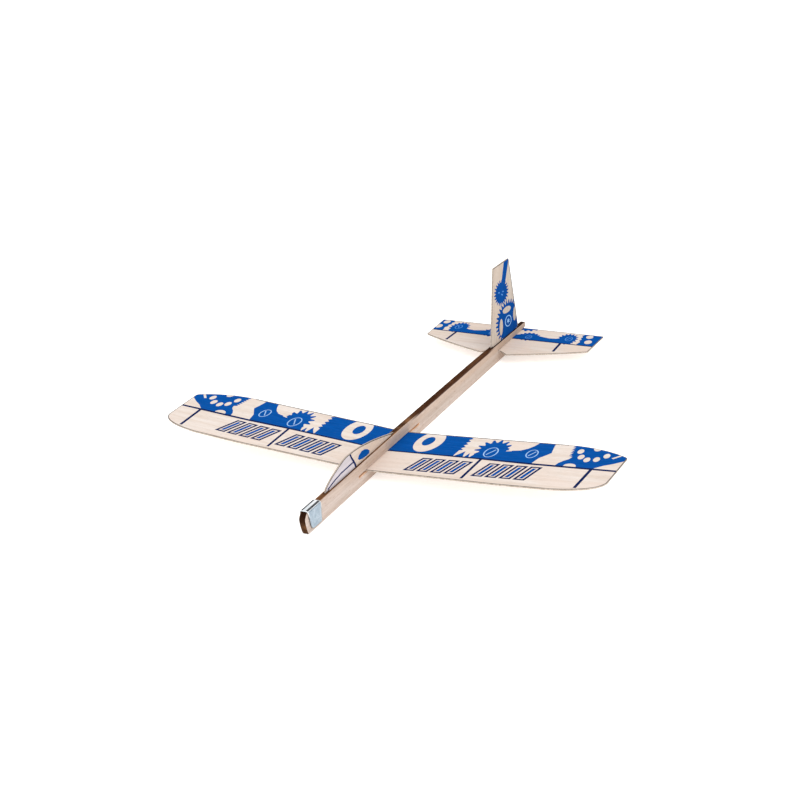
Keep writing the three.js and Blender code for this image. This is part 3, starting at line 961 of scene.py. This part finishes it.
def fin_outline():
    """The fin from the side, with square shoulders and eased upper corners."""
    base = tabbed_base(FIN_FRONT, FIN_REAR, FIN_TAB)
    top_front = (along(FIN_FRONT + FIN_LEAD_SLOPE), FIN_TOP_HEIGHT)
    top_rear = (top_front[0] + FIN_TIP_CHORD, FIN_TOP_HEIGHT)
    top = rounded(base[-1], top_rear, top_front, FIN_CORNER)
    top += rounded(top_rear, top_front, base[0], FIN_CORNER)
    return base + top


def sunk(loop, middle, slope):
    """A shape slid down the fin towards the rear, in step with the distance from its middle."""
    return [(x, z - slope * (x - middle)) for x, z in loop]


def fin_print():
    """The fin's print, as distances back from the nose and up from the bottom edge."""
    found = []
    handle = [(330.8, 79.0), (342.0, 79.0), (340.2, 73.4), (337.0, 66.4), (334.4, 60.0)]
    handle += [(325.0, 60.0), (326.8, 66.4), (329.2, 73.4)]
    found.append((BLUE, handle))
    found.append((BLUE, sunk(wheel(*SMALL_WHEEL, 16.8, 10.6, 22, 0.22), SMALL_WHEEL[0], 0.15)))
    found.append((BLUE, sunk(wheel(*LARGE_WHEEL, 29.6, 18.0, 30, 0.17), LARGE_WHEEL[0], WHEEL_SLOPE)))
    found.append((BARE, sunk(oval(338.6, 35.6, 9.6, 2.7, 32), LARGE_WHEEL[0], 0.1)))
    for x, z, half_x, half_z in ((325.8, 25.0, 3.9, 6.9), (358.0, 27.4, 3.6, 6.0)):
        found.append((BARE, sunk(oval(x, z, half_x, half_z, 32), x, WHEEL_SLOPE)))
    for ink, half_x, half_z in ((PALE, 7.8, 4.8), (BLUE, 6.5, 4.0)):
        found.append((ink, sunk(oval(*LARGE_WHEEL, half_x, half_z, 36), LARGE_WHEEL[0], WHEEL_SLOPE)))
    found.append((PALE, sunk(wheel(*LARGE_WHEEL, 3.6, 2.2, 6, 0.5), LARGE_WHEEL[0], WHEEL_SLOPE)))
    for start, end, width in (
        ((318.0, 55.2), (321.6, 54.4), 0.9),
        ((327.6, 53.8), (331.0, 53.0), 0.9),
        ((325.2, 52.2), (328.6, 50.8), 1.0),
    ):
        found.append((SKY, stripe(start, end, width)))
    # Painted shade: a dark line along the fin's trailing edge, in the colour of the line round the face's
    # edge.
    rear_top = (FIN_FRONT + FIN_LEAD_SLOPE + FIN_TIP_CHORD, FIN_TOP_HEIGHT)
    found.append((RIM, stripe((FIN_REAR, top_edge(FIN_REAR)), rear_top, 2 * FIN_REAR_SHADE_LINE)))
    return [(ink, [(along(x), z) for x, z in loop]) for ink, loop in found]


FIN_BLUE_INK = tone(12, 68, 138)
FIN_WOOD = (tone(196, 185, 174), tone(184, 169, 155), tone(196, 177, 160))
FIN_INKS = [
    ("blue_print", FIN_BLUE_INK, 1.0),
    ("navy_print", NAVY_INK, 1.0),
    ("pale_print", PALE_INK, 1.0),
    ("sky_print", SKY_INK, 1.0),
]

fin = cut_out(
    "fin_sheet",
    fin_outline(),
    on_edge(SHEET_THICKNESS),
    printed_sheet("fin", FIN_WOOD, "Z", FIN_INKS),
    SHEET_EDGE,
    prints=fin_print(),
    back_printed=True,
)
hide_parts("fin")
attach(fin, "fin")


# ---------------------------------------------------------------------------
# Canopy. A low upright die-cut sheet standing in the slit behind the nose. Dark
# printed lines draw the windscreen frame, and a blue window lies behind it; the
# screen ahead of the frame has a thin grey wash.

CANOPY_RISE = 11.0
CANOPY_LINE = 1.0
KNOT_STEPS = 4
CANOPY_KNOTS = [
    (0.004, 0.22),
    (0.045, 0.4),
    (0.113, 0.63),
    (0.255, 0.96),
    (0.347, 1.0),
    (0.44, 0.96),
    (0.54, 0.84),
    (0.72, 0.56),
    (1.0, 0.0),
]


def canopy_silhouette():
    """The curved top from rear to front, drawn smoothly through its knots."""
    knots = []
    for part, lift in reversed(CANOPY_KNOTS):
        station = CANOPY_FRONT + part * CANOPY_LENGTH
        knots.append(Vector((along(station), top_edge(station) + SLIT_GAP + lift * CANOPY_RISE)))
    found = []
    for index in range(len(knots) - 1):
        before = knots[max(index - 1, 0)]
        start = knots[index]
        end = knots[index + 1]
        after = knots[min(index + 2, len(knots) - 1)]
        for step in range(KNOT_STEPS):
            t = step / KNOT_STEPS
            pull = (end - before) * 0.5
            push = (after - start) * 0.5
            bend = start * (2 * t**3 - 3 * t**2 + 1) + end * (3 * t**2 - 2 * t**3)
            found.append(tuple(bend + pull * (t**3 - 2 * t**2 + t) + push * (t**3 - t**2)))
    found.append(tuple(knots[-1]))
    return found


def canopy_print():
    """The canopy's print, as distances back from the nose and up from the bottom edge."""
    found = []
    screen = [(20.0, 10.0), (66.4, 10.0), (66.4, 14.6), (63.0, 19.6), (58.0, 26.0), (20.0, 26.0)]
    found.append((PALE, screen))
    window = [(69.4, 18.4), (71.4, 20.2), (75.0, 21.2), (79.0, 20.8), (83.0, 19.2), (85.6, 17.2)]
    window += [(85.2, 15.8), (82.0, 15.5), (76.0, 15.8), (71.2, 16.8)]
    found.append((BLUE, window))
    for start, end in (
        ((30.2, 15.3), (38.0, 17.1)),
        ((37.6, 17.0), (47.0, 18.3)),
        ((46.6, 18.3), (64.0, 18.7)),
    ):
        found.append((NAVY, stripe(start, end, CANOPY_LINE)))
    frame_front = [(57.4, 27.5), (60.4, 22.4), (62.8, 19.0), (64.8, 16.0), (66.2, 12.5)]
    frame_rear = [(68.0, 12.5), (66.8, 16.2), (64.6, 19.4), (62.0, 22.6), (59.2, 27.5)]
    found.append((NAVY, frame_front + frame_rear))
    return [(ink, [(along(x), z) for x, z in loop]) for ink, loop in found]


CANOPY_WOOD = (tone(219, 205, 194), tone(204, 187, 172), tone(217, 194, 177))
WASH_INK = tone(190, 186, 196)
CANOPY_INKS = [("blue_print", BLUE_INK, 1.0), ("navy_print", NAVY_INK, 1.0), ("grey_wash", WASH_INK, 0.75)]

canopy = cut_out(
    "canopy_sheet",
    tabbed_base(CANOPY_FRONT, CANOPY_REAR, CANOPY_TAB) + canopy_silhouette()[1:],
    on_edge(SHEET_THICKNESS),
    printed_sheet("canopy", CANOPY_WOOD, "Y", CANOPY_INKS),
    SHEET_EDGE,
    prints=canopy_print(),
    back_printed=True,
)
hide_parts("canopy")
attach(canopy, "canopy")


# ---------------------------------------------------------------------------
# Nose clip. A blank of tinned steel folded over the nose as ballast, with two
# flaps that grip the board's sides. The metal is bright, a little dented and
# rubbed. Painted shade darkens it along each fold, over the flaps, and on the
# flaps' cut edges lower down.

clip_low, clip_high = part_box("nose_clip")
CLIP_METAL = 0.5
CLIP_HALF = clip_high.x / MM
CLIP_CROWN = clip_high.z / MM
CLIP_SKIRT = clip_low.z / MM
CLIP_FRONT = clip_low.y / MM
CLIP_BACK = clip_high.y / MM
CLIP_FRONT_CUT = 6.0
CLIP_FRONT_CUT_HEIGHT = 4.6
CLIP_CORNER = 0.6
CLIP_BEND = 1.0 + CLIP_METAL / 2
CLIP_FOLD_STEPS = 8
CLIP_CORNER_STEPS = 8
# Heights over which the painted shade on the flaps' cut edges fades out going up.
CLIP_EDGE_SHADE_FADE = (10.0, 12.2)
CLIP_EDGE = (0.4, 0.1)

mid_half = CLIP_HALF - CLIP_METAL / 2
mid_crown = CLIP_CROWN - CLIP_METAL / 2
crown_run = mid_half - CLIP_BEND
fold_run = CLIP_BEND * math.pi / 2
flap_run = mid_crown - CLIP_BEND - CLIP_SKIRT


def unfolded(height):
    """How far down the blank from the crown's middle a height on the flap lies."""
    return crown_run + fold_run + (mid_crown - CLIP_BEND - height)


def folded(across, y, level):
    """The blank bent over the board: flat crown, two tight folds and two straight flaps."""
    side = 1 if across >= 0 else -1
    run = abs(across)
    out = level * CLIP_METAL / 2
    if run <= crown_run:
        return (across, y, mid_crown + out)
    if run <= crown_run + fold_run:
        turn = (run - crown_run) / CLIP_BEND
        reach = CLIP_BEND + out
        return (
            side * (crown_run + reach * math.sin(turn)),
            y,
            mid_crown - CLIP_BEND + reach * math.cos(turn),
        )
    return (side * (mid_half + out), y, mid_crown - CLIP_BEND - (run - crown_run - fold_run))


def clip_blank():
    """The flat blank: crown in the middle, and flaps with their front corners cut away."""
    foot = unfolded(CLIP_SKIRT)
    slant_foot = (unfolded(CLIP_FRONT_CUT_HEIGHT), CLIP_FRONT + CLIP_FRONT_CUT * 0.36)
    skirt_front = (foot, CLIP_FRONT + CLIP_FRONT_CUT)
    aim = (foot, CLIP_FRONT + CLIP_FRONT_CUT * 0.6)
    half = [(crown_run + fold_run, CLIP_FRONT), slant_foot]
    half += curve(slant_foot, aim, skirt_front, CLIP_CORNER_STEPS)
    half += rounded(skirt_front, (foot, CLIP_BACK), (0.0, CLIP_BACK), CLIP_CORNER)
    return half + [(-x, y) for x, y in reversed(half)]


def clip_folds():
    """Lines across the blank where the bends turn."""
    found = []
    for side in (1, -1):
        for step in range(CLIP_FOLD_STEPS + 1):
            across = side * (crown_run + fold_run * step / CLIP_FOLD_STEPS)
            found.append(((across, CLIP_FRONT - 1), (across, CLIP_BACK + 1)))
    return found


# Finish slots for the painted shade along the folds and on the flaps.
FOLD_SHADE = 3
FLAP = 4


def painted_fold_and_flap_shade():
    """Painted shade: the flaps, given duller greys than the crown, and a narrow dark line where each fold
    leaves the crown.
    """
    found = []
    for side in (1, -1):
        for ink, start, end in (
            (FOLD_SHADE, crown_run - 0.5, crown_run + fold_run * 0.4),
            (FLAP, crown_run + fold_run * 0.55, unfolded(CLIP_SKIRT) + 1),
        ):
            low, high = sorted((side * start, side * end))
            found.append((ink, rectangle(low, high, CLIP_FRONT - 1, CLIP_BACK + 1)))
    return found


STEEL_BRIGHT = tone(248, 250, 252)
STEEL_DULL = tone(232, 238, 242)
STEEL_RUBBED = tone(204, 210, 214)
# Painted shade: the flaps are the same tinned steel as the crown, given these duller greys.
SHADED_FLAP_BRIGHT = tone(163, 178, 190)
SHADED_FLAP_DULL = tone(151, 167, 180)
SHADED_FLAP_RUBBED = tone(136, 150, 161)
# Painted shade: near-black greys for the line where each fold leaves the crown, and for the flaps' cut
# edges lower down.
STEEL_SHADE_DARK = tone(52, 54, 58)
STEEL_SHADE_GREY = tone(86, 88, 92)


def tinned_steel(name, bright, dull, rubbed, edge_shade_low=0.0):
    """Thin bright plate: faint rolling lines, soft dents and small rubbed spots. The flaps' cut edges
    may take painted shade, darker lower down, but the edges up at the crown stay bright."""
    finish, tree, shader = new_finish(name, 0.5)
    shader.inputs["Metallic"].default_value = 1.0
    rolled = ranged(tree, figured(tree, (1.0, 0.05, 1.0), 2600.0, 2.0), 0.36, 0.66)
    cloud = ranged(tree, figured(tree, (1.0, 1.0, 1.0), 240.0, 3.0, 0.5), 0.34, 0.68)
    rub = ranged(tree, figured(tree, (1.0, 1.0, 1.0), 900.0, 3.0, 0.2), 0.6, 0.72)
    colour = blended(tree, cloud, bright, dull)
    colour = blended(tree, ranged(tree, rub, 0.0, 1.0, 0.0, 0.6), colour, rubbed)
    if edge_shade_low:
        low_down = up_the_board(tree, spot(tree), *CLIP_EDGE_SHADE_FADE, edge_shade_low, 0.0)
        colour = blended(tree, low_down, colour, STEEL_SHADE_DARK)
    feed(tree, shader.inputs["Base Color"], colour)
    feed(tree, shader.inputs["Roughness"], ranged(tree, cloud, 0.0, 1.0, 0.24, 0.42))
    raised(tree, shader, summed(tree, cloud, rolled, 1.0, 0.15), 0.12, 0.0002)
    return finish


clip = cut_out(
    "nose_clip_plate",
    clip_blank(),
    folded,
    [
        tinned_steel("tinned_steel", STEEL_BRIGHT, STEEL_DULL, STEEL_RUBBED),
        # The cut edges and their rim are painted darker lower down as shade; the fold and flap finishes are
        # painted shade too.
        tinned_steel("sheared_steel", STEEL_DULL, STEEL_RUBBED, SHADED_FLAP_RUBBED, 0.8),
        tinned_steel("sheared_steel_rim", STEEL_BRIGHT, STEEL_DULL, STEEL_RUBBED, 0.75),
        tinned_steel("fold_shade_steel", STEEL_SHADE_DARK, STEEL_SHADE_GREY, SHADED_FLAP_RUBBED),
        tinned_steel("shaded_flap_steel", SHADED_FLAP_BRIGHT, SHADED_FLAP_DULL, SHADED_FLAP_RUBBED),
    ],
    CLIP_EDGE,
    folds=clip_folds(),
    prints=painted_fold_and_flap_shade(),
)
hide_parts("nose_clip")
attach(clip, "nose_clip")


# ---------------------------------------------------------------------------
# Stage. A plain pale sweep under a white tent of light, with one broad soft lamp
# from high on the nose side, and the camera above and ahead of the port wing.

FLOOR_SIDE = 60.0
TENT_LIGHT = 1.0
LAMP_LIGHT = 0.95
FLOOR_GLOW = 0.42
LAMP_SPREAD = math.radians(50)
LAMP_FROM = Vector((0.45, -0.6, 0.9))
PAPER_LIGHT = tone(244, 244, 243)
PAPER_SHADE = tone(240, 240, 239)

floor_mesh = bpy.data.meshes.new("floor")
floor_shape = bmesh.new()
bmesh.ops.create_grid(floor_shape, x_segments=8, y_segments=8, size=FLOOR_SIDE / 2)
floor_shape.to_mesh(floor_mesh)
floor_shape.free()
floor = bpy.data.objects.new("floor", floor_mesh)
bpy.context.scene.collection.objects.link(floor)
paper, paper_tree, paper_shader = new_finish("stage_paper", 0.1)
paper_mottle = ranged(paper_tree, figured(paper_tree, (1.0, 1.0, 1.0), 60.0, 3.0), 0.3, 0.7)
paper_tint = blended(paper_tree, paper_mottle, PAPER_LIGHT, PAPER_SHADE)
feed(paper_tree, paper_shader.inputs["Base Color"], paper_tint)
feed(paper_tree, paper_shader.inputs["Roughness"], ranged(paper_tree, paper_mottle, 0.0, 1.0, 0.9, 1.0))
paper_shader.inputs["Emission Color"].default_value = (1.0, 1.0, 1.0, 1.0)
paper_shader.inputs["Emission Strength"].default_value = FLOOR_GLOW
floor_mesh.materials.append(paper)

world = bpy.data.worlds.new("tent")
world.use_nodes = True
tent = world.node_tree.nodes["Background"]
tent.inputs["Color"].default_value = (1.0, 1.0, 1.0, 1.0)
tent.inputs["Strength"].default_value = TENT_LIGHT
bpy.context.scene.world = world

lamp = bpy.data.lights.new("soft_lamp", "SUN")
lamp.energy = LAMP_LIGHT
lamp.angle = LAMP_SPREAD
lamp_object = bpy.data.objects.new("soft_lamp", lamp)
lamp_object.rotation_mode = "QUATERNION"
lamp_object.rotation_quaternion = LAMP_FROM.to_track_quat("Z", "Y")
bpy.context.scene.collection.objects.link(lamp_object)

bpy.context.scene.view_settings.view_transform = "Standard"
bpy.context.scene.view_settings.look = "None"

CAMERA_AT = Vector((288.1, -673.5, 296.9)) * MM
CAMERA_ROUND = math.radians(24.45)
CAMERA_DOWN = math.radians(23.1)
CAMERA_ROLL = math.radians(-1.44)
CAMERA_LENS = 50.65
CAMERA_SHIFT = (-0.0151, 0.0466)

right = Vector((math.cos(CAMERA_ROUND), math.sin(CAMERA_ROUND), 0.0))
back = Vector(
    (
        math.sin(CAMERA_ROUND) * math.cos(CAMERA_DOWN),
        -math.cos(CAMERA_ROUND) * math.cos(CAMERA_DOWN),
        math.sin(CAMERA_DOWN),
    )
)
up = back.cross(right)
rolled_right = right * math.cos(CAMERA_ROLL) + up * math.sin(CAMERA_ROLL)
rolled_up = up * math.cos(CAMERA_ROLL) - right * math.sin(CAMERA_ROLL)
turned = Matrix((rolled_right, rolled_up, back)).transposed()

camera_data = bpy.data.cameras.new("camera")
camera_data.lens = CAMERA_LENS
camera_data.sensor_width = 36.0
camera_data.shift_x = CAMERA_SHIFT[0]
camera_data.shift_y = CAMERA_SHIFT[1]
camera_data.clip_start = 0.01
camera_data.clip_end = 200.0
camera = bpy.data.objects.new("camera", camera_data)
camera.matrix_world = Matrix.Translation(CAMERA_AT) @ turned.to_4x4()
bpy.context.scene.collection.objects.link(camera)
bpy.context.scene.camera = camera
